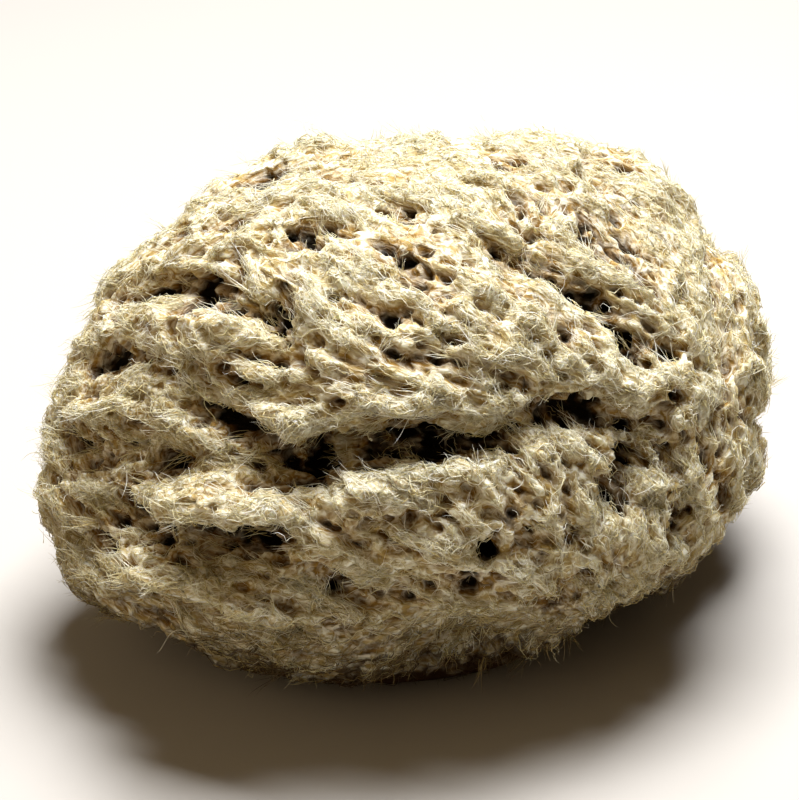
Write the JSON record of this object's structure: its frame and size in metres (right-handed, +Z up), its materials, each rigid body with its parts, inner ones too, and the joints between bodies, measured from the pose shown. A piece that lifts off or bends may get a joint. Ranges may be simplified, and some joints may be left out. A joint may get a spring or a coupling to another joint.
{
  "type": "natural sea sponge",
  "caption": "Dried natural sea sponge: a lumpy oval mass with deep folds, scattered pits and a small flat underside that it rests on.",
  "frame": {"origin": "middle of the bounding box in plan, on the surface the sponge rests on", "axes": "+X along the sponge's length, +Z up, -Y towards the side with the long fold"},
  "size_m": [0.127, 0.101, 0.0786],
  "materials": {
    "sponge_fibre": "matt, open and fibrous"
  },
  "bodies": {
    "root": {"sponge": "sponge_fibre"}
  },
  "joints": []
}
